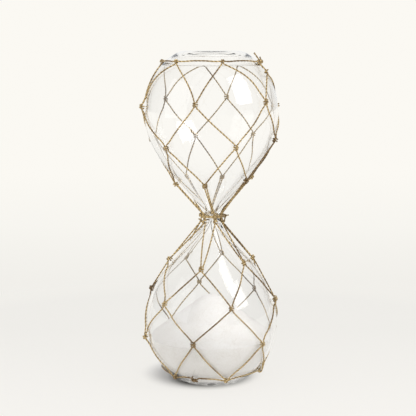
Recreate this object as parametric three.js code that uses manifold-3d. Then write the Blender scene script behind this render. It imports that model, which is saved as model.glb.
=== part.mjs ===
// A frameless blown-glass hourglass in a hand-knotted twine net. Millimetres, +Z up.
// The origin is the centre of the flat foot it stands on, and the front looks along -Y.
// Angles go round the axis in degrees, 0 at the front and growing towards +X.
import * as THREE from 'three';
import { mergeVertices } from 'three/addons/utils/BufferGeometryUtils.js';
import Module from 'manifold-3d';

const wasm = await Module();
wasm.setup();

// Glass
const HEIGHT = 200; // from one flat foot to the other
const BULB_RADIUS = 40; // outside, at the widest line
const BULB_LEVEL = 37.5; // height of the widest line above its own foot
const FOOT_RADIUS = 21; // flat end
const FOOT_EDGE = 5; // width of the rounding round the flat end
const NECK_RADIUS = 4.8; // outside, at the waist
const BORE_RADIUS = 0.7; // passage for the sand
const WALL = 1.6;
const FLOOR = 2.4; // glass is thicker at the flat ends
const SHOULDER_PULL = 30; // how far the bulb carries on before it turns to the neck
const NECK_PULL = 12; // how far the neck carries on before it opens into the bulb
const FILL_HOLE_RADIUS = 4; // in the lower foot, closed by the plug
const PLUG_RECESS = 0.4; // keeps the plug off the table

// Sand
const SAND_PEAK = 56; // top of the heap above the foot
const HEAP_SLOPE = 37; // degrees, as dry sand comes to rest

// Twine
const CORD_RADIUS = 0.55;
const KNOT_RADIUS = 1.45;
const FIT_GAP = 0.3; // air between neighbouring pieces
const LAY_GAP = 0.5; // between glass and cord, where a straight step spans the round glass
const TIE_TURNS = 2;
const TIE_PITCH = 2 * CORD_RADIUS + FIT_GAP;
const TIE_RISE = 1.6; // how far the waist tie sits above the narrowest place
const TAIL_LENGTH = 5; // cut ends past a knot
const TAIL_TURN = 60; // how far round the top ring's cut end leans from its knot
const FOLD_RISE = 2.2; // how far a net cord's fold stands past the top ring

// Facets
const GLASS_SIDES = 32;
const EDGE_STEPS = 2;
const ROUND_STEPS = 5;
const SHOULDER_STEPS = 9;
const CORD_SIDES = 6;
const CORD_STEP = 8; // length of one straight step of a cord
const RING_STEPS = 36;
const TIE_STEPS = 20; // in one turn of the waist tie
const ROUNDING = 0.01; // how far a corner may stand from its exact place

// Sizes that follow from these
const WAIST = HEIGHT / 2;
const TIE_LEVEL = WAIST + TIE_RISE;
const TIE_BOTTOM = TIE_LEVEL - (TIE_PITCH * TIE_TURNS) / 2 - CORD_RADIUS;
const KNOT_SHOULDER = 1.2 * KNOT_RADIUS; // from a knot's middle to where it is plain cord again
const WAIST_LEVEL = (TIE_BOTTOM - LAY_GAP - KNOT_SHOULDER) / WAIST; // of the knots below the tie
const CORD_LIFT = CORD_RADIUS + LAY_GAP;
const KNOT_LIFT = KNOT_RADIUS + LAY_GAP;
const KNOT_STEP = KNOT_RADIUS + CORD_RADIUS + FIT_GAP; // from a knot to the strand beside it
const OVER_RING = CORD_LIFT + 2 * CORD_RADIUS + FIT_GAP;
const STRAND_RADIUS = NECK_RADIUS + CORD_LIFT + 2 * FIT_GAP; // the strands round the neck
const TIE_RADIUS = STRAND_RADIUS + 2 * CORD_RADIUS + FIT_GAP;

// Each net cord is folded over the top ring, and its two strands zigzag down to the bottom ring.
// A knot is [angle, level], and a level is the share of the way from the nearer foot to the waist.
// Rows marked own tie the two strands of one cord, the others a cord and the next one round.
const TOP_RING_LEVEL = 0.07;
const BOTTOM_RING_LEVEL = 0.076;
const HOOKS = [-43, 12, 68, 145, 190, 262];
const ROWS = [
  { upper: true, own: false,
    knots: [[-13, 0.305], [49, 0.295], [107, 0.33], [166, 0.285], [226, 0.295], [277, 0.33]] },
  { upper: true, own: true,
    knots: [[-44, 0.55], [21, 0.54], [73, 0.515], [136, 0.515], [195, 0.53], [251, 0.53]] },
  { upper: true, own: false,
    knots: [[-10, 0.77], [57, 0.75], [103, 0.745], [161, 0.775], [228, 0.77], [280, 0.78]] },
  { upper: false, own: false,
    knots: [20, 75, 130, 190, 250, 322].map((angle) => [angle, WAIST_LEVEL]) },
  { upper: false, own: true,
    knots: [[-13, 0.72], [50, 0.74], [98, 0.735], [163, 0.745], [222, 0.73], [270, 0.735]] },
  { upper: false, own: false,
    knots: [[17, 0.515], [77, 0.51], [133, 0.515], [192, 0.53], [255, 0.54], [315, 0.52]] },
  { upper: false, own: true,
    knots: [[-15, 0.315], [47, 0.29], [108, 0.295], [163, 0.295], [222, 0.29], [279, 0.28]] },
];
const ENDS = [16, 76, 135, 192, 250, 315]; // where the pairs are tied to the bottom ring
const TOP_TIE = 80; // angles of the knots that close the two rings and the waist tie
const BOTTOM_TIE = -20;
const WAIST_TIE = 100;
const WAIST_ROW = 3; // the row just below the tie
const TIE_LEAN = 0.8; // how much of the way round to that row a pair has turned under the tie

const TOP_RING = HEIGHT - TOP_RING_LEVEL * WAIST;
const BOTTOM_RING = BOTTOM_RING_LEVEL * WAIST;
const radians = THREE.MathUtils.degToRad;

// ---- solids ----

function solid(geometry) {
  geometry.deleteAttribute('normal');
  geometry.deleteAttribute('uv');
  const merged = mergeVertices(geometry);
  return new wasm.Manifold(new wasm.Mesh({
    numProp: 3,
    vertProperties: merged.attributes.position.array,
    triVerts: new Uint32Array(merged.index.array),
  }));
}

function geometryOf(manifold) {
  const { vertProperties, triVerts } = manifold.getMesh();
  const geometry = new THREE.BufferGeometry();
  geometry.setAttribute('position', new THREE.BufferAttribute(vertProperties, 3));
  geometry.setIndex(new THREE.BufferAttribute(triVerts, 1));
  const flat = geometry.toNonIndexed();
  flat.computeVertexNormals();
  return flat;
}

// Turns an outline of [radius, height] pairs, which goes up the outside, about the Z axis.
function turned(outline) {
  const points = outline.map(([r, z]) => new THREE.Vector2(r, z));
  return solid(new THREE.LatheGeometry(points, GLASS_SIDES).rotateX(Math.PI / 2));
}

// A smooth curve whose steps fall on its own points, however far apart they lie.
class Route extends THREE.CatmullRomCurve3 {
  getPointAt(u, target) {
    return this.getPoint(u, target);
  }

  getTangentAt(u, target) {
    return this.getTangent(u, target);
  }
}

// Twine along a list of points, swollen into a knot at each of the points named in knots.
function cordAlong(points, knots) {
  const section = new THREE.Shape();
  for (let i = 0; i < CORD_SIDES; i++) {
    const turn = (2 * Math.PI * i) / CORD_SIDES;
    section[i ? 'lineTo' : 'moveTo'](CORD_RADIUS * Math.cos(turn), CORD_RADIUS * Math.sin(turn));
  }
  section.closePath();
  const extrudePath = new Route(points, false, 'centripetal');
  const cord = new THREE.ExtrudeGeometry(section, { steps: points.length - 1, extrudePath });
  const places = cord.getAttribute('position');
  const corner = new THREE.Vector3();
  for (let i = 0; i < places.count; i++) {
    corner.fromBufferAttribute(places, i);
    const knot = knots.find((point) => point.distanceTo(corner) < CORD_RADIUS + ROUNDING);
    if (knot) {
      corner.sub(knot).multiplyScalar(KNOT_RADIUS / CORD_RADIUS).add(knot);
      places.setXYZ(i, corner.x, corner.y, corner.z);
    }
  }
  return solid(cord);
}

// ---- the glass outline ----

// One bulb from its flat foot up to the waist, as [radius, height] pairs, inset by the wall.
function bulbOutline(inset, floor, neck) {
  const radius = BULB_RADIUS - inset;
  const drop = BULB_LEVEL / Math.sqrt(1 - (FOOT_RADIUS / BULB_RADIUS) ** 2) - inset;
  const start = Math.asin((floor - BULB_LEVEL) / drop);
  const foot = radius * Math.cos(start);
  const rise = start * (1 - FOOT_EDGE / FOOT_RADIUS);
  const body = new THREE.Path().moveTo(foot - FOOT_EDGE, floor);
  const edgeEnd = [radius * Math.cos(rise), BULB_LEVEL + drop * Math.sin(rise)];
  body.quadraticCurveTo(foot, floor, ...edgeEnd);
  const bottom = body.getPoints(EDGE_STEPS).map((p) => [p.x, p.y]);
  const round = [];
  for (let i = 1; i <= ROUND_STEPS; i++) {
    const angle = rise * (1 - i / ROUND_STEPS);
    round.push([radius * Math.cos(angle), BULB_LEVEL + drop * Math.sin(angle)]);
  }
  const shoulder = new THREE.CubicBezierCurve(
    new THREE.Vector2(radius, BULB_LEVEL),
    new THREE.Vector2(radius, BULB_LEVEL + SHOULDER_PULL),
    new THREE.Vector2(neck, WAIST - NECK_PULL),
    new THREE.Vector2(neck, WAIST),
  );
  return [...bottom, ...round, ...shoulder.getPoints(SHOULDER_STEPS).slice(1).map((p) => [p.x, p.y])];
}

function bothBulbs(lower) {
  const upper = lower.slice(0, -1).reverse().map(([r, z]) => [r, HEIGHT - z]);
  return [[0, lower[0][1]], ...lower, ...upper, [0, HEIGHT - lower[0][1]]];
}

const OUTSIDE = bothBulbs(bulbOutline(0, 0, NECK_RADIUS));

function glassRadius(z) {
  const above = OUTSIDE.findIndex(([, height], i) => i > 1 && height >= z);
  const [r0, z0] = OUTSIDE[above - 1];
  const [r1, z1] = OUTSIDE[above];
  return z1 > z0 ? r0 + ((r1 - r0) * (z - z0)) / (z1 - z0) : r1;
}

// ---- places on the glass ----

function around(angle, radius, z) {
  const turn = radians(angle);
  return new THREE.Vector3(radius * Math.sin(turn), -radius * Math.cos(turn), z);
}

// How fast the glass widens with height.
function glassSlope(z) {
  const probe = 0.5;
  return (glassRadius(z + probe) - glassRadius(z - probe)) / (2 * probe);
}

// A point that stands off the glass at this height by lift, square to the glass.
function onGlass(angle, z, lift) {
  const slope = glassSlope(z);
  const square = 1 / Math.hypot(1, slope);
  return around(angle, glassRadius(z) + lift * square, z - lift * slope * square);
}

function heightOf(level, upper) {
  return upper ? HEIGHT - level * WAIST : level * WAIST;
}

// The angle that moves a point sideways by this many millimetres.
function sideways(distance, z) {
  return THREE.MathUtils.radToDeg(distance / Math.max(glassRadius(z) + CORD_LIFT, STRAND_RADIUS));
}

// The taut run of a cord between two points: straight, and pushed out where the glass is in the way.
function tautRun(from, to) {
  const steps = Math.max(1, Math.round(from.distanceTo(to) / CORD_STEP));
  const run = [];
  for (let i = 1; i < steps; i++) {
    const point = from.clone().lerp(to, i / steps);
    const clear = glassRadius(point.z) + CORD_LIFT * Math.hypot(1, glassSlope(point.z));
    const push = Math.max(1, clear / Math.hypot(point.x, point.y));
    run.push(point.multiply(new THREE.Vector3(push, push, 1)));
  }
  return run;
}

// The whole route of a cord through its stations, with a point on either side of each knot.
function routeThrough(stations, knots) {
  const beside = (knot, next) => knot.clone().add(next.clone().sub(knot).setLength(KNOT_SHOULDER));
  const route = [];
  stations.forEach((station, i) => {
    const last = stations[i - 1];
    if (last) {
      const from = knots.includes(last) ? beside(last, station) : last;
      const to = knots.includes(station) ? beside(station, last) : station;
      if (from !== last) route.push(from);
      route.push(...tautRun(from, to));
      if (to !== station) route.push(to);
    }
    route.push(station);
  });
  return route;
}

// ---- pieces ----

function glassBody() {
  const inside = bothBulbs(bulbOutline(WALL, FLOOR, BORE_RADIUS));
  const hole = [[0, -FLOOR], [FILL_HOLE_RADIUS, -FLOOR], [FILL_HOLE_RADIUS, 2 * FLOOR], [0, 2 * FLOOR]];
  return turned(OUTSIDE).subtract(turned(inside)).subtract(turned(hole));
}

function fillPlug() {
  const radius = FILL_HOLE_RADIUS - FIT_GAP;
  return turned([[0, PLUG_RECESS], [radius, PLUG_RECESS], [radius, FLOOR], [0, FLOOR]]);
}

function sandHeap() {
  const clear = WALL + FIT_GAP;
  const room = bothBulbs(bulbOutline(clear, FLOOR + FIT_GAP, BORE_RADIUS / 2));
  const rim = SAND_PEAK - BULB_RADIUS * Math.tan(radians(HEAP_SLOPE));
  return turned(room).intersect(turned([[0, 0], [BULB_RADIUS, 0], [BULB_RADIUS, rim], [0, SAND_PEAK]]));
}

// A cord tied round the bulb at one height. Its two ends meet at a knot, and one runs on to a cut.
function ringCord(z, tieAngle, cut) {
  const knot = onGlass(tieAngle, z, KNOT_LIFT);
  const shy = sideways(KNOT_STEP, z);
  const round = [cut, knot];
  for (let i = 0; i <= RING_STEPS; i++) {
    const angle = tieAngle + shy + ((360 - 2 * shy) * i) / RING_STEPS;
    round.push(onGlass(angle, z, CORD_LIFT));
  }
  return cordAlong(round, [knot]);
}

// Its cut end stands up off the glass.
function topRing() {
  const away = around(TOP_TIE - TAIL_TURN, TAIL_LENGTH / 2, TAIL_LENGTH);
  return ringCord(TOP_RING, TOP_TIE, onGlass(TOP_TIE, TOP_RING, KNOT_LIFT).add(away));
}

// Its cut end lies up along the glass.
function bottomRing() {
  const cut = onGlass(BOTTOM_TIE, BOTTOM_RING + TAIL_LENGTH, KNOT_LIFT);
  return ringCord(BOTTOM_RING, BOTTOM_TIE, cut);
}

// A cord wound down round the gathered strands, with its knot outside its upper turn.
function waistTie() {
  const top = TIE_LEVEL + (TIE_PITCH * TIE_TURNS) / 2;
  const knot = around(WAIST_TIE, TIE_RADIUS + KNOT_STEP, top);
  const away = around(WAIST_TIE - TAIL_TURN, TAIL_LENGTH / 2, 0);
  const coil = [knot.clone().add(away), knot];
  for (let i = 1; i <= TIE_TURNS * TIE_STEPS; i++) {
    const turns = i / TIE_STEPS;
    coil.push(around(WAIST_TIE + 360 * turns, TIE_RADIUS, top - TIE_PITCH * turns));
  }
  return cordAlong(coil, [knot]);
}

// The angle from one place to another, between -180 and 180.
function turnBetween(from, to) {
  return ((((to - from + 180) % 360) + 360) % 360) - 180;
}

// Where a pair of strands passes under the waist tie, on its way from its last upper knot to the
// knot below the tie. The two strands lie side by side.
function underTie(column, side) {
  const above = ROWS[WAIST_ROW - 1].knots[column][0];
  const below = ROWS[WAIST_ROW].knots[column][0];
  const angle = above + TIE_LEAN * turnBetween(above, below);
  const beside = sideways((-side * TIE_PITCH) / 2, TIE_LEVEL);
  const half = (TIE_PITCH * TIE_TURNS) / 2;
  return [half, -half].map((rise) => around(angle + beside, STRAND_RADIUS, TIE_LEVEL + rise));
}

// One strand of a net cord from the top ring down, as its stations. side is 1 for the strand that
// goes down towards +angle, and -1 for the other. The first carries the knots, and the other
// passes close beside them.
function strand(cord, side) {
  const column = side > 0 ? cord : (cord + HOOKS.length - 1) % HOOKS.length;
  const knotted = side > 0;
  const lift = knotted ? KNOT_LIFT : CORD_LIFT;
  const hook = HOOKS[cord] + side * sideways(KNOT_STEP / 2, TOP_RING);
  const stations = [onGlass(hook, TOP_RING, OVER_RING)];
  const knots = [];
  const tieHere = (angle, z, apart) => {
    stations.push(onGlass(angle + sideways((apart * KNOT_STEP) / 2, z), z, lift));
    if (knotted) knots.push(stations.at(-1));
  };
  ROWS.forEach((row, i) => {
    const [angle, level] = row.knots[row.own ? cord : column];
    if (i === WAIST_ROW) stations.push(...underTie(column, side));
    tieHere(angle, heightOf(level, row.upper), row.own ? side : -side);
  });
  tieHere(ENDS[column], BOTTOM_RING + KNOT_STEP, -side);
  const end = ENDS[column] + sideways((-side * KNOT_STEP) / 2, BOTTOM_RING);
  stations.push(onGlass(end, BOTTOM_RING, OVER_RING));
  return { stations, knots };
}

// A cord folded over the top ring, with the knots that it carries for itself and its neighbour.
function netCord(cord) {
  const left = strand(cord, -1);
  const right = strand(cord, 1);
  const fold = onGlass(HOOKS[cord], TOP_RING + FOLD_RISE, CORD_LIFT);
  const stations = [...left.stations.reverse(), fold, ...right.stations];
  return cordAlong(routeThrough(stations, right.knots), right.knots);
}

// ---- the assembly ----

const GLASS = { color: 0xeef4f4, roughness: 0.03, metalness: 0, transparent: true, opacity: 0.35 };
const SAND = { color: 0xf2efe9, roughness: 0.95, metalness: 0 };
const TWINE = { color: 0xc2a06a, roughness: 0.85, metalness: 0 };

const hourglass = new THREE.Group();

function place(name, manifold, finish) {
  const mesh = new THREE.Mesh(geometryOf(manifold), new THREE.MeshStandardMaterial(finish));
  mesh.name = name;
  hourglass.add(mesh);
}

place('glass_body', glassBody(), GLASS);
place('fill_plug', fillPlug(), GLASS);
place('sand_heap', sandHeap(), SAND);
place('top_ring_cord', topRing(), TWINE);
place('bottom_ring_cord', bottomRing(), TWINE);
place('waist_tie_cord', waistTie(), TWINE);
HOOKS.forEach((_, cord) => place(`net_cord_${cord + 1}`, netCord(cord), TWINE));

export default hourglass;
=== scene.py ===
import math
import random

import bpy
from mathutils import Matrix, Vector


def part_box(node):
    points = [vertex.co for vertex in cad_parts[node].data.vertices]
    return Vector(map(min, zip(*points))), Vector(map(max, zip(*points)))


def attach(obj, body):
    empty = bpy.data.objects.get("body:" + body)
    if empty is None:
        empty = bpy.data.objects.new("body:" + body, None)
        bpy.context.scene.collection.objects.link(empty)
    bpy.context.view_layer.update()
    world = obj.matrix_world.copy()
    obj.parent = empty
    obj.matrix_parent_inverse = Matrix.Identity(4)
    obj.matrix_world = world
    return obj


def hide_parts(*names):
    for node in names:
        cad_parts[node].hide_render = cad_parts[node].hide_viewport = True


# A frameless blown-glass hourglass in a hand-knotted twine net. Metres, +Z up.
# Angles go round the axis in degrees, 0 at the front and growing towards +X.

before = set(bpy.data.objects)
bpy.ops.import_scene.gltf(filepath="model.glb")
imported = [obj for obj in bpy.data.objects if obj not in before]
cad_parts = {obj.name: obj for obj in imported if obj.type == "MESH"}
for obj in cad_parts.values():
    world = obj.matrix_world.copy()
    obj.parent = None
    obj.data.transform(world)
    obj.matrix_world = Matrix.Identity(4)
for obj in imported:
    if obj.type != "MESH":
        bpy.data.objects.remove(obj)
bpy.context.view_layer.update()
chance = random.Random(7)

# ---- sizes ----

glass_low, glass_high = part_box("glass_body")
HEIGHT = glass_high.z
WAIST = HEIGHT / 2
BULB_RADIUS = glass_high.x
BULB_LEVEL = 0.0375  # height of the widest line above its own foot
FOOT_RADIUS = 0.021
FOOT_EDGE = 0.005  # width of the rounding round the flat end
NECK_RADIUS = 0.0048
BORE_RADIUS = 0.0007
WALL = 0.0016
FLOOR = 0.0024
SHOULDER_PULL = 0.030  # how far the bulb carries on before it turns to the neck
NECK_PULL = 0.012  # how far the neck carries on before it opens into the bulb
FILL_HOLE_RADIUS = 0.004
PLUG_RECESS = 0.0004
EASE = 0.00004  # play between pieces that touch

SAND_PEAK = 0.056  # where the heap's slopes would meet
HEAP_SLOPE = 37  # degrees, as dry sand comes to rest
HEAP_CROWN = 0.008  # radius of the rounded top of the heap
SAND_GRAIN = 0.00028
HEAP_RINGS = 60

CORD = 0.00047  # radius of the twine
KNOT = 0.00185  # radius of a knot
KNOT_WRAPS = 2
WRAP_PITCH = 2.7 * CORD
KNOT_TILT = 0.35  # the most that a knot's wraps lean, which differs from knot to knot
PLIES = 2
PLY_SIDES = 9
LAY = 0.0048  # length in which the plies go once round
TWINE_STEP = 0.00045
STEEP = 0.016  # a strand below the top ring that reaches no further to the side hangs straight
SPREAD = 0.36  # how far a wider one swings out, as a share of its reach past that
RING_SLACK = 0.0009  # how far a ring stands up between the cords that pull it down
RING_OPENING = 0.0030  # on either side of a ring's tie, where its two ends meet
RING_STEPS = 120
LIFT_SPREAD = 7  # degrees over which a ring lies down again beside a cord that it crosses
SLACK_SPREAD = 12
TIED_LENGTH = 0.0028  # of the place where two ends are twisted together
TIED_SWELL = 1.75 * CORD
TIE_TURNS = 2
TIE_STEPS = 40  # points of one turn of the waist tie
TIE_OPENING = 22  # degrees on either side of the waist tie's knot
TIE_PITCH = 1.75 * CORD
TIE_RISE = 0.0016  # how far the waist tie sits above the narrowest place
STRAND_RADIUS = NECK_RADIUS + 0.0015  # of the strands round the neck
TIE_RADIUS = STRAND_RADIUS + 2 * CORD
TIE_LEVEL = WAIST + TIE_RISE

CORD_LIFT = CORD + EASE
KNOT_LIFT = KNOT + EASE
HOOKED_LIFT = 3 * CORD + 2 * EASE  # of a ring where a cord passes behind it

GLASS_SIDES = 144
CORNER_STEPS = 10
ROUND_STEPS = 36
SHOULDER_STEPS = 72
PLUG_SIDES = 64
SAND_PLAY = 0.00012
RUN_STEP = 0.0016  # length of one step of a taut run
WRAP_STEPS = 12  # points of one wrap of a knot

# Each net cord is folded over the top ring, and its two strands zigzag down to the bottom ring.
# A knot is (angle, level), and a level is the share of the way from the nearer foot to the waist.
# Rows marked own tie the two strands of one cord, the others a cord and the next one round.
TOP_RING_LEVEL = 0.07
BOTTOM_RING_LEVEL = 0.076
HOOKS = [-43, 12, 68, 145, 190, 262]
KNOTTED_HOOK = 2  # the cord whose fold is a longer loop, closed by a knot of its own
HOOK_LOOP = 0.0058
WAIST_LEVEL = 0.975
UPPER_ROWS = [
    ("shared", [(-13, 0.305), (49, 0.295), (107, 0.33), (166, 0.285), (226, 0.295), (277, 0.33)]),
    ("own", [(-44, 0.55), (21, 0.54), (73, 0.515), (136, 0.515), (195, 0.53), (251, 0.53)]),
    ("shared", [(-10, 0.77), (57, 0.75), (103, 0.745), (161, 0.775), (228, 0.77), (280, 0.78)]),
]
LOWER_ROWS = [
    ("shared", [(angle, WAIST_LEVEL) for angle in (20, 75, 130, 190, 250, 322)]),
    ("own", [(-13, 0.72), (50, 0.74), (98, 0.735), (163, 0.745), (222, 0.73), (270, 0.735)]),
    ("shared", [(17, 0.515), (77, 0.51), (133, 0.515), (192, 0.53), (255, 0.54), (315, 0.52)]),
    ("own", [(-15, 0.315), (47, 0.29), (108, 0.295), (163, 0.295), (222, 0.29), (279, 0.28)]),
]
ENDS = [16, 76, 135, 192, 250, 315]  # where the pairs are tied to the bottom ring
TOP_TIE = 80
BOTTOM_TIE = -20
WAIST_TIE = 100
# The cut ends of each tie, as how far they reach to the side, down and out from its middle.
TOP_TAILS = [(-0.0012, -0.0066, 0.0004), (0.0022, -0.0026, 0.0010)]
BOTTOM_TAILS = [(0.0004, -0.0046, 0.0006), (0.0030, -0.0012, 0.0014)]
WAIST_TAILS = [(-0.0032, -0.0012, 0.0016), (0.0030, 0.0030, 0.0012)]
TIE_LEAN = 0.8  # how much of the way round to the knots below a pair has turned under the tie

TOP_RING = HEIGHT - TOP_RING_LEVEL * WAIST
BOTTOM_RING = BOTTOM_RING_LEVEL * WAIST


# ---- the camera ----

def set_camera():
    bpy.ops.object.camera_add(location=(-0.0021, -0.650, 0.195), rotation=(math.radians(82.19), 0, 0))
    camera = bpy.context.object
    camera.data.sensor_width = 36
    camera.data.lens = 93.7
    camera.data.clip_start = 0.01
    camera.data.clip_end = 60
    bpy.context.scene.camera = camera


# ---- the glass outline ----

def bulb_outline(inset, floor, neck):
    """One bulb from its flat foot up to the waist, as (radius, height), inset by the wall."""
    radius = BULB_RADIUS - inset
    drop = BULB_LEVEL / math.sqrt(1 - (FOOT_RADIUS / BULB_RADIUS) ** 2) - inset
    start = math.asin((floor - BULB_LEVEL) / drop)
    foot = radius * math.cos(start)
    rise = start * (1 - FOOT_EDGE / FOOT_RADIUS)
    corner = [(foot - FOOT_EDGE, floor), (foot, floor),
              (radius * math.cos(rise), BULB_LEVEL + drop * math.sin(rise))]
    outline = [bezier(corner, i / CORNER_STEPS) for i in range(CORNER_STEPS + 1)]
    for i in range(1, ROUND_STEPS + 1):
        turn = rise * (1 - i / ROUND_STEPS)
        outline.append((radius * math.cos(turn), BULB_LEVEL + drop * math.sin(turn)))
    shoulder = [(radius, BULB_LEVEL), (radius, BULB_LEVEL + SHOULDER_PULL),
                (neck, WAIST - NECK_PULL), (neck, WAIST)]
    return outline + [bezier(shoulder, i / SHOULDER_STEPS) for i in range(1, SHOULDER_STEPS + 1)]


def bezier(handles, share):
    """The point of a Bezier curve, by drawing its handles together."""
    while len(handles) > 1:
        handles = [
            (a[0] + (b[0] - a[0]) * share, a[1] + (b[1] - a[1]) * share)
            for a, b in zip(handles, handles[1:])
        ]
    return handles[0]


def both_bulbs(lower):
    return lower + [(r, HEIGHT - z) for r, z in reversed(lower[:-1])]


OUTSIDE = both_bulbs(bulb_outline(0, 0, NECK_RADIUS))
INSIDE = both_bulbs(bulb_outline(WALL, FLOOR, BORE_RADIUS))


def radius_at(outline, z):
    for (r0, z0), (r1, z1) in zip(outline, outline[1:]):
        if z0 <= z <= z1 and z1 > z0:
            return r0 + (r1 - r0) * (z - z0) / (z1 - z0)
    return outline[0][0]


def glass_radius(z):
    return radius_at(OUTSIDE, z)


def glass_slope(z):
    """How fast the glass widens with height."""
    probe = 0.0005
    return (glass_radius(z + probe) - glass_radius(z - probe)) / (2 * probe)


def around(angle, radius, z):
    turn = math.radians(angle)
    return Vector((radius * math.sin(turn), -radius * math.cos(turn), z))


class Spot:
    """A place on the glass with the directions of a maker's hand there: side, down and out."""

    def __init__(self, angle, z, lift):
        slope = glass_slope(z)
        square = 1 / math.hypot(1, slope)
        outward = around(angle, 1, 0)
        self.out = (outward - Vector((0, 0, slope))) * square
        self.down = (outward * slope + Vector((0, 0, 1))) * -square
        self.side = around(angle + 90, 1, 0)
        self.centre = around(angle, glass_radius(z), z) + self.out * lift

    def at(self, side, down, out):
        return self.centre + self.side * side + self.down * down + self.out * out


def on_glass(angle, z, lift):
    return Spot(angle, z, lift).centre


# ---- routes of the twine ----

def taut_run(start, end, bow):
    """Points between two places: straight, and pushed out where the glass is in the way."""
    span = end - start
    steps = max(2, round(span.length / RUN_STEP))
    sideways = span.cross(Vector((start.x + end.x, start.y + end.y, 0))).normalized()
    run = []
    for i in range(1, steps):
        share = i / steps
        point = start + span * share + sideways * bow * math.sin(math.pi * share)
        slope = glass_slope(point.z)
        clear = glass_radius(point.z) + CORD_LIFT * math.hypot(1, slope)
        push = max(1, clear / math.hypot(point.x, point.y))
        run.append(Vector((point.x * push, point.y * push, point.z)))
    return run


def joined(stretches, spread=()):
    """One route through stretches of fixed points, with runs between them: taut but for those that
    lead to the stretches named in spread, which swing out to the side as they near the ring."""
    route = list(stretches[0])
    for place, stretch in enumerate(stretches[1:], 1):
        length = (stretch[0] - route[-1]).length
        bow = chance.uniform(-1, 1) * min(0.0005, 0.02 * length)
        if place in spread:
            reach = math.hypot(stretch[0].x - route[-1].x, stretch[0].y - route[-1].y)
            bow = -SPREAD * max(0, reach - STEEP)
        route += taut_run(route[-1], stretch[0], bow) + list(stretch)
    return route


def wound(spot, hand, wraps, tilt=0.0):
    """One strand's way through a knot, from the top down: round the other, or straight through."""
    points = []
    if wraps == 0:
        for down in (-2.6, -1.2, 0, 1.2, 2.6):
            points.append(spot.at(hand * CORD * (0.35 + 0.1 * down * down), down * CORD, 0))
        return points
    start = 0 if hand > 0 else 180
    steps = WRAP_STEPS * wraps
    half = wraps * WRAP_PITCH / 2
    points.append(spot.at(hand * 1.7 * CORD, -half - 1.2 * CORD, -0.6 * CORD))
    for i in range(steps + 1):
        share = i / steps
        reach = (KNOT - CORD) * (0.70 + 0.05 * wraps + 0.15 * math.sin(math.pi * share))
        turn = math.radians(start + 360 * wraps * share)
        side = reach * math.cos(turn)
        points.append(spot.at(side, half * (2 * share - 1) + tilt * side, reach * math.sin(turn)))
    points.append(spot.at(hand * 1.7 * CORD, half + 1.2 * CORD, -0.6 * CORD))
    return points


def hook(spot):
    """A cord's fold round the top ring, from the left strand to the right: a lark's head."""
    half = [(-1.2, 3.0, -1.5), (-1.03, 1.4, -1.8), (-1.0, 0.0, -1.95), (-1.0, -1.5, -0.9),
            (-1.0, -1.5, 0.8), (-1.0, 0.0, 1.75), (-0.9, 1.3, 1.3), (0, 2.0, 0.6)]
    whole = half + [(-s, d, n) for s, d, n in reversed(half[:-1])]
    return [spot.at(s * CORD, d * CORD, n * CORD) for s, d, n in whole]


def ring_end(spot, hand):
    """A strand's last stretch: down before the bottom ring, up behind it and into its knot."""
    stretch = [(-3.2, 1.2), (0, 2.05), (1.85, 0.85), (1.85, -0.9), (0, -2.05), (-3.4, -1.6)]
    return [spot.at(hand * 1.03 * CORD, d * CORD, n * CORD) for d, n in stretch]


def turn_between(start, end):
    return (end - start + 180) % 360 - 180


def under_tie(column, hand):
    above, below = UPPER_ROWS[-1][1][column][0], LOWER_ROWS[0][1][column][0]
    angle = above + TIE_LEAN * turn_between(above, below)
    beside = math.degrees(hand * 1.1 * CORD / STRAND_RADIUS)
    half = TIE_PITCH * TIE_TURNS / 2
    return [around(angle + beside, STRAND_RADIUS, TIE_LEVEL + rise) for rise in (half, 0, -half)]


def strand(cord, side):
    """One strand of a net cord from just below the top ring down, as stretches of points."""
    column = cord if side > 0 else (cord - 1) % len(HOOKS)
    stretches = []
    if cord == KNOTTED_HOOK:
        spot = Spot(HOOKS[cord] - 1, TOP_RING - HOOK_LOOP, KNOT_LIFT)
        stretches.append(wound(spot, side, 1 if side > 0 else 0))
    for rows, place in ((UPPER_ROWS, lambda level: HEIGHT - level * WAIST),
                        (LOWER_ROWS, lambda level: level * WAIST)):
        if rows is LOWER_ROWS:
            stretches.append(under_tie(column, -side))
        for kind, knots in rows:
            own = kind == "own"
            angle, level = knots[cord if own else column]
            spot = Spot(angle, place(level), KNOT_LIFT)
            hand = side if own else -side
            winds = (hand > 0) == (angle % 3 > 0)
            most = 1 if level == WAIST_LEVEL else KNOT_WRAPS
            tilt = KNOT_TILT * math.sin(7 * angle)
            stretches.append(wound(spot, hand, most if winds else 0, tilt))
    stretches.append(ring_end(Spot(ENDS[column], BOTTOM_RING, HOOKED_LIFT), -side))
    return stretches


def cut_end(row, place, *offsets):
    """A short end out of a knot: from its middle through the offsets of side, down and out."""
    upper = row < len(UPPER_ROWS)
    _, knots = (UPPER_ROWS + LOWER_ROWS)[row]
    angle, level = knots[place]
    spot = Spot(angle, HEIGHT - level * WAIST if upper else level * WAIST, KNOT_LIFT)
    return [spot.at(0, 0, 0.2 * CORD)] + [spot.at(*offset) for offset in offsets]


# Each cut end as the net cord it belongs to, the row and place of its knot, and its way out.
CUT_ENDS = [
    (5, 1, 4, (0.0018, -0.0020, 0.0006), (0.0034, -0.0040, 0.0002)),
    (5, 1, 4, (0.0006, -0.0018, 0.0008), (0.0012, -0.0034, 0.0014)),
    (3, 4, 2, (-0.0014, -0.0012, 0.0010), (-0.0034, -0.0018, 0.0012)),
    (4, 4, 4, (-0.0008, -0.0020, 0.0004), (-0.0022, -0.0052, -0.0004)),
    (4, 4, 4, (0.0002, -0.0020, 0.0008), (0.0010, -0.0042, 0.0010)),
    (3, 5, 2, (0.0010, 0.0018, 0.0006), (0.0006, 0.0036, 0.0008)),
]


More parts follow.
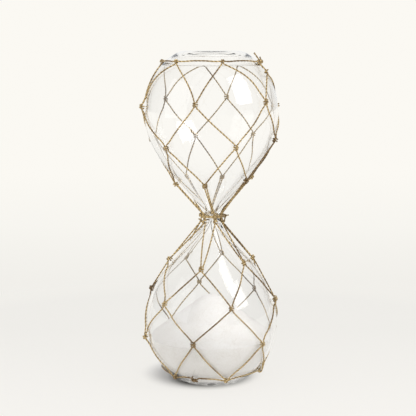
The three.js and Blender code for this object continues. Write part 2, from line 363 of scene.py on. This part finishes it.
def net_route(cord):
    left = [list(reversed(stretch)) for stretch in reversed(strand(cord, -1))]
    fold = len(left)
    stretches = left + [hook(Spot(HOOKS[cord], TOP_RING, HOOKED_LIFT))] + strand(cord, 1)
    return joined(stretches, (fold, fold + 1) if cord != KNOTTED_HOOK else (fold - 1, fold + 2))


def ring_route(z, tie, lifted, tails):
    """A ring's route round the glass, over the strands behind it, with its ends tied at one place."""
    spot = Spot(tie, z, CORD_LIFT + 1.5 * CORD)
    out_end, in_end = tied_ends(spot, tails)
    shy = math.degrees(RING_OPENING / glass_radius(z))
    circle = []
    for i in range(RING_STEPS + 1):
        angle = tie + shy + (360 - 2 * shy) * i / RING_STEPS
        near = min(abs(turn_between(angle, place)) for place in lifted)
        rise = (HOOKED_LIFT - CORD_LIFT) * math.exp(-((near / LIFT_SPREAD) ** 2))
        slack = RING_SLACK * (1 - math.exp(-((near / SLACK_SPREAD) ** 2)))
        circle.append(on_glass(angle, z + slack, CORD_LIFT + rise))
    return out_end + circle + in_end


def tied_ends(spot, tails):
    """Two ends that come in from either side, go once round each other and stick out."""
    def twisted(share, phase):
        swell = (0.6 + 0.4 * math.sin(math.pi * share)) * TIED_SWELL
        turn = 2 * math.pi * share + phase
        return spot.at((share - 0.5) * TIED_LENGTH, -swell * math.cos(turn), swell * math.sin(turn))

    shares = [i / WRAP_STEPS for i in range(WRAP_STEPS + 1)]
    out_end = [spot.at(*tails[0])] + [twisted(share, 0) for share in shares]
    in_end = [twisted(1 - share, math.pi) for share in shares] + [spot.at(*tails[1])]
    return out_end, in_end


def tie_route():
    """The waist tie: wound down round the strands, its ends tied outside its turns."""
    spot = Spot(WAIST_TIE, TIE_LEVEL, TIE_RADIUS - NECK_RADIUS + 1.6 * CORD)
    out_end, in_end = tied_ends(spot, WAIST_TAILS)
    steps = TIE_STEPS * TIE_TURNS
    coil = []
    for i in range(steps + 1):
        share = i / steps
        angle = WAIST_TIE + TIE_OPENING + (360 * TIE_TURNS - 2 * TIE_OPENING) * share
        sink = TIE_PITCH * TIE_TURNS * (0.5 - share) * 0.9
        coil.append(around(angle, TIE_RADIUS, TIE_LEVEL + sink))
    return out_end + coil + in_end


# ---- twine ----

def smooth_line(points):
    """A centripetal curve through the points, cut into even steps."""
    kept = [points[0]]
    for point in points[1:]:
        if (point - kept[-1]).length > 0.0001:
            kept.append(point)
    ends = [kept[0] * 2 - kept[1]] + kept + [kept[-1] * 2 - kept[-2]]
    fine = []
    for a, b, c, d in zip(ends, ends[1:], ends[2:], ends[3:]):
        fine += [curve_point(a, b, c, d, i / 8) for i in range(8)]
    fine.append(kept[-1])
    return even_steps(fine)


def curve_point(a, b, c, d, share):
    t1 = math.sqrt((b - a).length)
    t2 = t1 + math.sqrt((c - b).length)
    t3 = t2 + math.sqrt((d - c).length)
    t = t1 + (t2 - t1) * share
    ab = a * ((t1 - t) / t1) + b * (t / t1)
    bc = b * ((t2 - t) / (t2 - t1)) + c * ((t - t1) / (t2 - t1))
    cd = c * ((t3 - t) / (t3 - t2)) + d * ((t - t2) / (t3 - t2))
    abc = ab * ((t2 - t) / t2) + bc * (t / t2)
    bcd = bc * ((t3 - t) / (t3 - t1)) + cd * ((t - t1) / (t3 - t1))
    return abc * ((t2 - t) / (t2 - t1)) + bcd * ((t - t1) / (t2 - t1))


def even_steps(line):
    total = sum((b - a).length for a, b in zip(line, line[1:]))
    count = max(4, round(total / TWINE_STEP))
    step = total / count
    even, run, due = [line[0]], 0.0, step
    for a, b in zip(line, line[1:]):
        length = (b - a).length
        while length > 0 and run + length >= due and len(even) < count:
            even.append(a.lerp(b, (due - run) / length))
            due += step
        run += length
    even.append(line[-1])
    return even


def ply_section():
    """The twine's section as (angle, share of its radius): round plies with grooves between."""
    sides = PLIES * PLY_SIDES
    section = []
    for i in range(sides):
        turn = 2 * math.pi * i / sides
        section.append((turn, 0.60 + 0.40 * abs(math.cos(turn * PLIES / 2)) ** 0.8))
    return section


class Spool:
    """Collects the rings and faces of the twine stretches of one piece."""

    def __init__(self):
        self.points, self.faces, self.laid = [], [], []

    def lay(self, route):
        line = smooth_line(route)
        section = ply_section()
        sides = len(section)
        tangents = [(line[min(i + 1, len(line) - 1)] - line[max(i - 1, 0)]).normalized()
                    for i in range(len(line))]
        across = tangents[0].orthogonal().normalized()
        first = len(self.points)
        for i, (centre, along) in enumerate(zip(line, tangents)):
            if i:
                across = tangents[i - 1].rotation_difference(along) @ across
                across = (across - along * across.dot(along)).normalized()
            twist = 2 * math.pi * i * TWINE_STEP / LAY
            other = along.cross(across)
            for turn, share in section:
                reach = CORD * share
                self.points.append(centre + across * (reach * math.cos(turn + twist))
                                   + other * (reach * math.sin(turn + twist)))
        for i in range(len(line) - 1):
            for j in range(sides):
                k = (j + 1) % sides
                a, b = first + i * sides, first + (i + 1) * sides
                self.faces.append((a + j, a + k, b + k, b + j))
                self.laid.append([(j, i), (j + 1, i), (j + 1, i + 1), (j, i + 1)])
        for ring, i, flip in ((0, 0, True), (len(line) - 1, len(line) - 1, False)):
            cap = [first + ring * sides + j for j in range(sides)]
            centre = len(self.points)
            self.points.append(line[ring].copy())
            for j in range(sides):
                k = (j + 1) % sides
                face = (cap[j], cap[k], centre)
                self.faces.append(tuple(reversed(face)) if flip else face)
                self.laid.append([(j, i), (j, i), (j, i)])

    def made(self, name):
        mesh = bpy.data.meshes.new(name)
        mesh.from_pydata([tuple(p) for p in self.points], [], self.faces)
        mesh.polygons.foreach_set("use_smooth", [True] * len(mesh.polygons))
        lay_map = mesh.uv_layers.new(name="Lay")
        sides = PLIES * PLY_SIDES
        corner = 0
        for places in self.laid:
            for j, i in places:
                lay_map.data[corner].uv = (j / sides, i * TWINE_STEP)
                corner += 1
        piece = bpy.data.objects.new(name, mesh)
        bpy.context.scene.collection.objects.link(piece)
        return piece


def twine_piece(name, routes):
    spool = Spool()
    for route in routes:
        spool.lay(route)
    return spool.made(name)


# ---- turned pieces ----

def start_ring(sides, radius, z):
    bpy.ops.object.select_all(action="DESELECT")
    bpy.ops.mesh.primitive_circle_add(vertices=sides, radius=radius, location=(0, 0, z))
    piece = bpy.context.object
    bpy.ops.object.transform_apply(location=True, rotation=True, scale=True)
    bpy.ops.object.mode_set(mode="EDIT")
    bpy.ops.mesh.select_all(action="SELECT")
    return piece


def raise_rings(outline):
    """Draw the selected ring out through the outline's places, one after another."""
    radius, z = outline[0]
    for next_radius, next_z in outline[1:]:
        bpy.ops.mesh.extrude_region_move(TRANSFORM_OT_translate={"value": (0, 0, next_z - z)})
        grow = next_radius / radius
        bpy.ops.transform.resize(value=(grow, grow, 1), center_override=(0, 0, next_z))
        radius, z = next_radius, next_z


def take_up(piece):
    """Select this piece alone and go into edit mode."""
    bpy.ops.object.select_all(action="DESELECT")
    piece.select_set(True)
    bpy.context.view_layer.objects.active = piece
    bpy.ops.object.mode_set(mode="EDIT")


def take_rims(piece):
    """Select the piece's open rims in edit mode."""
    take_up(piece)
    bpy.ops.mesh.select_mode(type="EDGE")
    bpy.ops.mesh.select_all(action="DESELECT")
    bpy.ops.mesh.select_non_manifold()


def close_pole():
    """Gather the selected ring into a point on the axis."""
    bpy.ops.mesh.extrude_region_move(TRANSFORM_OT_translate={"value": (0, 0, 0)})
    bpy.ops.mesh.merge(type="CENTER")


def turned(name, outline, sides):
    piece = start_ring(sides, *outline[0])
    raise_rings(outline)
    close_pole()
    bpy.ops.object.mode_set(mode="OBJECT")
    piece.name = piece.data.name = name
    return piece


def finished_mesh(piece):
    """Merge doubles, turn all faces outwards and shade smooth."""
    take_up(piece)
    bpy.ops.mesh.select_all(action="SELECT")
    bpy.ops.mesh.remove_doubles(threshold=1e-6)
    bpy.ops.mesh.normals_make_consistent(inside=False)
    bpy.ops.object.mode_set(mode="OBJECT")
    bpy.ops.object.shade_smooth_by_angle(angle=math.radians(40))
    return piece


def inner_flat(outline, hole):
    """The outline from a hole's rim in its foot to near the far end's middle."""
    return [(hole, outline[0][1])] + outline + [(outline[-1][0] / 2, outline[-1][1])]


def blown_glass():
    outer = turned("glass_outside", inner_flat(OUTSIDE, FILL_HOLE_RADIUS), GLASS_SIDES)
    inner = turned("glass_inside", inner_flat(INSIDE, FILL_HOLE_RADIUS), GLASS_SIDES)
    bpy.ops.object.select_all(action="DESELECT")
    inner.select_set(True)
    outer.select_set(True)
    bpy.context.view_layer.objects.active = outer
    bpy.ops.object.join()
    take_rims(outer)
    bpy.ops.mesh.bridge_edge_loops()
    bpy.ops.object.mode_set(mode="OBJECT")
    outer.name = outer.data.name = "blown_glass"
    return finished_mesh(outer)


def foot_plug():
    """The glass stopper fused into the fill hole, with a small melted dimple."""
    radius = FILL_HOLE_RADIUS - EASE
    outline = [(0.0006, PLUG_RECESS + 0.0003), (0.0018, PLUG_RECESS + 0.0001),
               (radius - 0.0005, PLUG_RECESS), (radius - 0.0001, PLUG_RECESS + 0.0002),
               (radius, PLUG_RECESS + 0.0005), (radius, FLOOR - 0.0003),
               (radius - 0.0003, FLOOR), (0.0012, FLOOR)]
    piece = turned("foot_plug", outline, PLUG_SIDES)
    take_rims(piece)
    close_pole()
    bpy.ops.object.mode_set(mode="OBJECT")
    return finished_mesh(piece)


def sand_bed():
    """Dry sand in the lower bulb: its sides follow the glass, and its top is a cone."""
    wall = bulb_outline(WALL + SAND_PLAY, FLOOR + SAND_PLAY, BORE_RADIUS)
    sides = [place for place in wall if place[1] < heap_height(place[0])]
    rim = sides[-1][0]
    reaches = [rim * (1 - i / HEAP_RINGS) for i in range(HEAP_RINGS)]
    heap = [(reach, heap_height(reach)) for reach in reaches]
    base = [(wall[0][0] / 2, wall[0][1])]
    piece = turned("sand_bed", base + sides + heap, GLASS_SIDES)
    take_rims(piece)
    close_pole()
    bpy.ops.object.mode_set(mode="OBJECT")
    return finished_mesh(piece)


def heap_height(radius):
    """The heap's height at this distance from the axis: a cone with a rounded top."""
    slope = math.tan(math.radians(HEAP_SLOPE))
    if radius > HEAP_CROWN:
        return SAND_PEAK - radius * slope
    return SAND_PEAK - (HEAP_CROWN + radius * radius / HEAP_CROWN) / 2 * slope


# ---- finishes ----

class Finish:
    """A material under construction, with short ways to add and wire its nodes."""

    def __init__(self, name):
        self.material = bpy.data.materials.new(name)
        self.material.use_nodes = True
        self.tree = self.material.node_tree
        self.tree.nodes.clear()
        self.output = self.tree.nodes.new("ShaderNodeOutputMaterial")

    def node(self, kind, settings=None, **inputs):
        made = self.tree.nodes.new(kind)
        for key, value in (settings or {}).items():
            setattr(made, key, value)
        for key, value in inputs.items():
            socket = made.inputs[int(key[1:])] if key[0] == "i" and key[1:].isdigit() else made.inputs[
                key.replace("_", " ")]
            if isinstance(value, bpy.types.NodeSocket):
                self.tree.links.new(value, socket)
            else:
                socket.default_value = value
        return made

    def ramp(self, value, stops):
        made = self.node("ShaderNodeValToRGB", i0=value)
        ramp = made.color_ramp
        while len(ramp.elements) < len(stops):
            ramp.elements.new(0.5)
        for element, (place, colour) in zip(ramp.elements, stops):
            element.position = place
            element.color = (*colour, 1)
        return made.outputs["Color"]

    def maths(self, operation, a, b=0.0):
        return self.node("ShaderNodeMath", {"operation": operation}, i0=a, i1=b).outputs[0]

    def surface(self, socket):
        self.tree.links.new(socket, self.output.inputs["Surface"])
        return self.material


def clear_glass():
    finish = Finish("clear_glass")
    glass = finish.node("ShaderNodeBsdfPrincipled", Base_Color=(1, 1, 1, 1), Roughness=0.0,
                        IOR=1.47, Transmission_Weight=1.0)
    through = finish.node("ShaderNodeBsdfTransparent", Color=(0.93, 0.93, 0.93, 1))
    rays = finish.node("ShaderNodeLightPath")
    mix = finish.node("ShaderNodeMixShader", i0=rays.outputs["Is Shadow Ray"],
                      i1=glass.outputs[0], i2=through.outputs[0])
    return finish.surface(mix.outputs[0])


def white_sand():
    finish = Finish("white_sand")
    place = finish.node("ShaderNodeTexCoord").outputs["Object"]
    grains = finish.node("ShaderNodeTexVoronoi", Vector=place, Scale=1 / SAND_GRAIN)
    drift = finish.node("ShaderNodeTexNoise", Vector=place, Scale=90.0, Detail=5.0)
    tone = finish.maths("ADD", finish.maths("MULTIPLY", grains.outputs["Color"], 0.55),
                        finish.maths("MULTIPLY", drift.outputs[0], 0.45))
    colour = finish.ramp(tone, [(0.15, (0.71, 0.67, 0.61)), (0.45, (0.875, 0.85, 0.805)),
                                (0.8, (0.94, 0.925, 0.90))])
    relief = finish.node("ShaderNodeBump", Strength=0.5, Distance=0.0001,
                         Height=grains.outputs["Distance"])
    sand = finish.node("ShaderNodeBsdfPrincipled", Base_Color=colour, Roughness=0.95,
                       Normal=relief.outputs[0])
    return finish.surface(sand.outputs[0])


def hemp_twine():
    finish = Finish("hemp_twine")
    place = finish.node("ShaderNodeTexCoord").outputs["Object"]
    lay = finish.node("ShaderNodeUVMap", {"uv_map": "Lay"}).outputs[0]
    parts = finish.node("ShaderNodeSeparateXYZ", i0=lay)
    turn = finish.maths("MULTIPLY", parts.outputs[0], 2 * math.pi * PLIES)
    crown = finish.maths("MULTIPLY_ADD", finish.maths("COSINE", turn), 0.5)
    crown.node.inputs[2].default_value = 0.5
    along = finish.maths("MULTIPLY", parts.outputs[1], 900.0)
    slant = finish.maths("ADD", finish.maths("MULTIPLY", parts.outputs[0], 26.0), along)
    fibre_place = finish.node("ShaderNodeCombineXYZ", i0=slant,
                              i1=finish.maths("MULTIPLY", parts.outputs[0], 60.0), i2=0.0)
    fibres = finish.node("ShaderNodeTexNoise", Vector=fibre_place.outputs[0], Scale=1.0, Detail=4.0,
                         Roughness=0.65)
    # Darker patches at random along the twine: partly its uneven tone, partly painted shade for the
    # strands that lie away from the light.
    patches = finish.node("ShaderNodeTexNoise", Vector=place, Scale=55.0, Detail=3.0)
    straw = finish.ramp(fibres.outputs[0], [(0.30, (0.29, 0.185, 0.060)), (0.47, (0.55, 0.395, 0.165)),
                                            (0.68, (0.79, 0.615, 0.32))])
    shade = finish.ramp(patches.outputs[0], [(0.40, (0.34, 0.28, 0.21)), (0.53, (1.0, 0.98, 0.94)),
                                             (0.62, (1.0, 1.0, 1.0))])
    straw_patch_tone_and_shade = finish.node("ShaderNodeMix", {"data_type": "RGBA", "blend_type": "MULTIPLY"},
                       i0=1.0, i6=straw, i7=shade)
    # Painted shade: a dark brown is mixed into the grooves between the plies, where shade falls, while
    # the ply crowns keep the twine's colour.
    dark = finish.node("ShaderNodeMix", {"data_type": "RGBA", "blend_type": "MIX"},
                       i0=finish.ramp(crown, [(0.08, (0.0,) * 3), (0.62, (1.0,) * 3)]),
                       i6=(0.085, 0.050, 0.020, 1), i7=straw_patch_tone_and_shade.outputs[2])
    height = finish.maths("ADD", finish.maths("MULTIPLY", fibres.outputs[0], 0.6),
                          finish.maths("MULTIPLY", crown, 0.4))
    relief = finish.node("ShaderNodeBump", Strength=0.6, Distance=0.00012, Height=height)
    rough = finish.maths("MULTIPLY_ADD", fibres.outputs[0], 0.25)
    rough.node.inputs[2].default_value = 0.55
    twine = finish.node("ShaderNodeBsdfPrincipled", Base_Color=dark.outputs[2], Roughness=rough,
                        Sheen_Weight=0.12, Sheen_Roughness=0.5, Normal=relief.outputs[0])
    return finish.surface(twine.outputs[0])


# ---- the studio ----

BACKDROP = (0.965, 0.945, 0.895)
FLOOR_FRONT = (0.945, 0.925, 0.885)
# Painted shade: the floor's glow is darker from about 12 to 29 cm behind the axis, standing in for the
# glass's soft shadow and the light's falloff there.
FLOOR_SHADE_BEHIND = (0.880, 0.865, 0.825)
FLOOR_FAR = (0.930, 0.915, 0.870)
FLOOR_REACH = 30
FLOOR_GAP = 0.00002  # below the foot
# Painted shadow: the floor's glow gives way to the lit floor only round this place, to the left of and
# behind the axis, so the shadow's place and shape are painted.
CONTACT_SHADOW = (-0.006, 0.011, 0)  # the middle of the dark patch under the glass


def studio_world():
    """What a ray that leaves the scene meets: the backdrop when it is seen straight or through the
    glass, a dimmer room with dark flags on either side when it is mirrored, and soft light."""
    world = bpy.data.worlds.new("studio")
    bpy.context.scene.world = world
    world.use_nodes = True
    tree = world.node_tree
    tree.nodes.clear()
    output = tree.nodes.new("ShaderNodeOutputWorld")
    rays = tree.nodes.new("ShaderNodeLightPath")
    seen = tree.nodes.new("ShaderNodeBackground")
    seen.inputs["Color"].default_value = (*BACKDROP, 1)
    soft = tree.nodes.new("ShaderNodeBackground")
    soft.inputs["Color"].default_value = (0.95, 0.96, 1.0, 1)
    soft.inputs["Strength"].default_value = 0.84
    mirrored = tree.nodes.new("ShaderNodeBackground")
    mirrored.inputs["Color"].default_value = (0.9, 0.92, 0.95, 1)
    sideways = tree.nodes.new("ShaderNodeSeparateXYZ")
    tree.links.new(tree.nodes.new("ShaderNodeTexCoord").outputs["Generated"], sideways.inputs[0])
    off_axis = tree.nodes.new("ShaderNodeMath")
    off_axis.operation = "ABSOLUTE"
    tree.links.new(sideways.outputs["X"], off_axis.inputs[0])
    flags = tree.nodes.new("ShaderNodeMapRange")
    flags.inputs["From Min"].default_value = 0.30
    flags.inputs["From Max"].default_value = 0.65
    flags.inputs["To Min"].default_value = 0.95
    flags.inputs["To Max"].default_value = 0.10
    tree.links.new(off_axis.outputs[0], flags.inputs["Value"])
    tree.links.new(flags.outputs[0], mirrored.inputs["Strength"])
    seen_or_mirrored = tree.nodes.new("ShaderNodeMixShader")
    with_soft = tree.nodes.new("ShaderNodeMixShader")
    mirror_ray = tree.nodes.new("ShaderNodeMath")
    mirror_ray.operation = "GREATER_THAN"
    tree.links.new(rays.outputs["Is Glossy Ray"], mirror_ray.inputs[0])
    tree.links.new(rays.outputs["Is Transmission Ray"], mirror_ray.inputs[1])
    tree.links.new(mirror_ray.outputs[0], seen_or_mirrored.inputs[0])
    tree.links.new(seen.outputs[0], seen_or_mirrored.inputs[1])
    tree.links.new(mirrored.outputs[0], seen_or_mirrored.inputs[2])
    tree.links.new(rays.outputs["Diffuse Depth"], with_soft.inputs[0])
    tree.links.new(seen_or_mirrored.outputs[0], with_soft.inputs[1])
    tree.links.new(soft.outputs[0], with_soft.inputs[2])
    tree.links.new(with_soft.outputs[0], output.inputs["Surface"])


def softbox(name, azimuth, distance, height, size, radiance):
    place = around(azimuth, distance, height)
    bpy.ops.object.light_add(type="AREA", location=place)
    lamp = bpy.context.object
    lamp.name = name
    lamp.data.shape = "RECTANGLE"
    lamp.data.size, lamp.data.size_y = size
    lamp.data.energy = radiance * math.pi * size[0] * size[1]
    aim = Vector((0, 0, WAIST)) - place
    lamp.rotation_euler = aim.to_track_quat("-Z", "Y").to_euler()
    return lamp


def studio_floor():
    """A pale floor: lit by the lamps round the foot, with a painted contact shadow in its colour right
    under it, and a glow beyond that runs into the backdrop, darker with painted shade just behind the
    glass."""
    bpy.ops.object.select_all(action="DESELECT")
    bpy.ops.mesh.primitive_circle_add(vertices=128, radius=FLOOR_REACH, fill_type="NGON",
                                      location=(0, 0, -FLOOR_GAP))
    floor = bpy.context.object
    floor.name = "studio_floor"
    finish = Finish("pale_floor")
    place = finish.node("ShaderNodeTexCoord").outputs["Object"]
    reach = finish.node("ShaderNodeVectorMath", {"operation": "LENGTH"}, i0=place).outputs["Value"]
    from_shadow = finish.node("ShaderNodeVectorMath", {"operation": "DISTANCE"}, i0=place,
                              i1=CONTACT_SHADOW).outputs["Value"]
    # The glow's share: none round CONTACT_SHADOW, where the lamps' shadow and the painted dark colour
    # show, and most of it from 40 mm out, where the glow covers the lit floor's shading.
    under = finish.node("ShaderNodeMapRange", {"interpolation_type": "SMOOTHSTEP"}, i0=from_shadow,
                        i1=0.023, i2=0.040, i3=0.0, i4=0.88)
    far = finish.node("ShaderNodeMapRange", {"interpolation_type": "SMOOTHSTEP"}, i0=reach,
                      i1=0.06, i2=0.30, i3=0.0, i4=1.0)
    share = finish.maths("MAXIMUM", under.outputs[0], far.outputs[0])
    depth = finish.node("ShaderNodeSeparateXYZ", i0=place).outputs["Y"]
    back = finish.node("ShaderNodeMapRange", i0=depth, i1=-0.1, i2=1.2)
    # The glow's colour by depth: bright in front, painted shade behind the glass, then fading into the
    # backdrop.
    tone = finish.ramp(back.outputs[0], [(0.0, FLOOR_FRONT), (0.17, FLOOR_SHADE_BEHIND), (0.30, FLOOR_SHADE_BEHIND),
                                         (0.55, FLOOR_FAR), (1.0, BACKDROP)])
    # Painted contact shadow in the lit floor's colour: dark out to 19 mm from the axis, pale from 27
    # mm.
    pale = finish.ramp(finish.maths("MULTIPLY", reach, 10.0), [(0.19, (0.22, 0.215, 0.20)),
                                                               (0.27, (0.72, 0.71, 0.69))])
    near = finish.node("ShaderNodeBsdfDiffuse", Color=pale)
    haze = finish.node("ShaderNodeMapRange", {"interpolation_type": "SMOOTHSTEP"}, i0=reach,
                       i1=0.5, i2=2.5, i3=0.0, i4=1.0)
    hazed = finish.node("ShaderNodeMix", {"data_type": "RGBA"}, i0=haze.outputs[0], i6=tone,
                        i7=(*BACKDROP, 1))
    glow = finish.node("ShaderNodeEmission", Color=hazed.outputs[2])
    mix = finish.node("ShaderNodeMixShader", i0=share, i1=near.outputs[0], i2=glow.outputs[0])
    floor.data.materials.append(finish.surface(mix.outputs[0]))


def set_studio():
    studio_world()
    studio_floor()
    softbox("key_softbox", 62, 0.62, 0.47, (0.31, 0.34), 3.8)
    softbox("fill_softbox", -65, 0.9, 0.45, (0.8, 0.8), 0.7)
    overhead = softbox("top_softbox", 150, 0.5, 1.1, (0.9, 0.9), 0.25)
    overhead.visible_glossy = False
    shoulder = softbox("shoulder_softbox", 50, 0.13, 0.238, (0.06, 0.098), 3.4)
    shoulder.visible_diffuse = False
    front = softbox("front_softbox", -12, 0.9, 0.06, (0.8, 0.5), 3.9)
    front.visible_glossy = False
    front.visible_transmission = False
    bpy.context.scene.view_settings.view_transform = "Standard"
    light_paths = bpy.context.scene.cycles
    light_paths.max_bounces = 24
    light_paths.glossy_bounces = 16
    light_paths.transmission_bounces = 20
    light_paths.transparent_max_bounces = 24


# ---- the assembly ----

def hang(piece, finish, slot, *nodes):
    piece.data.materials.clear()
    piece.data.materials.append(finish)
    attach(piece, "root")
    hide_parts(*nodes)


set_camera()
set_studio()

glass_finish, sand_finish, twine_finish = clear_glass(), white_sand(), hemp_twine()
hang(blown_glass(), glass_finish, "clear_glass", "glass_body")
hang(foot_plug(), glass_finish, "clear_glass", "fill_plug")
hang(sand_bed(), sand_finish, "white_sand", "sand_heap")

top_ring = ring_route(TOP_RING, TOP_TIE, HOOKS, TOP_TAILS)
bottom_ring = ring_route(BOTTOM_RING, BOTTOM_TIE, ENDS, BOTTOM_TAILS)
hang(twine_piece("top_ring_twine", [top_ring]), twine_finish, "hemp_twine", "top_ring_cord")
hang(twine_piece("bottom_ring_twine", [bottom_ring]), twine_finish, "hemp_twine", "bottom_ring_cord")
hang(twine_piece("waist_tie_twine", [tie_route()]), twine_finish, "hemp_twine", "waist_tie_cord")
for cord in range(len(HOOKS)):
    ends = [cut_end(row, place, *offsets) for owner, row, place, *offsets in CUT_ENDS if owner == cord]
    hang(twine_piece(f"net_twine_{cord + 1}", [net_route(cord)] + ends), twine_finish, "hemp_twine",
         f"net_cord_{cord + 1}")
